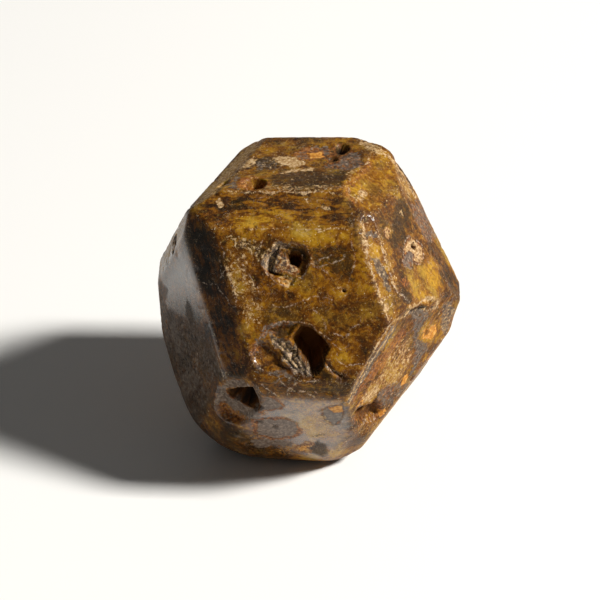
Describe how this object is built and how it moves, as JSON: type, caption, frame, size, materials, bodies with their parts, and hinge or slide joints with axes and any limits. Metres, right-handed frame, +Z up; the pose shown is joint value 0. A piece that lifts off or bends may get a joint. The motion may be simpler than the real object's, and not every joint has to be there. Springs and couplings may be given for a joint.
{
  "type": "garnet crystal",
  "caption": "Loose natural garnet crystal, a misshapen dodecahedron with bevelled edges, a rough scar, open pits and a flat face to rest on.",
  "frame": {"origin": "on the ground under the middle of the crystal's box, in the plane of the base face it rests on", "axes": "+Z up out of the base face, -Y towards the broad front face with the two great pits, +X to its right"},
  "size_m": [0.0272, 0.0268, 0.0262],
  "materials": {
    "garnet": "glassy to resinous brown, amber and olive mineral, with matt pale flaws"
  },
  "bodies": {
    "root": {"garnet_crystal": "garnet"}
  },
  "joints": []
}
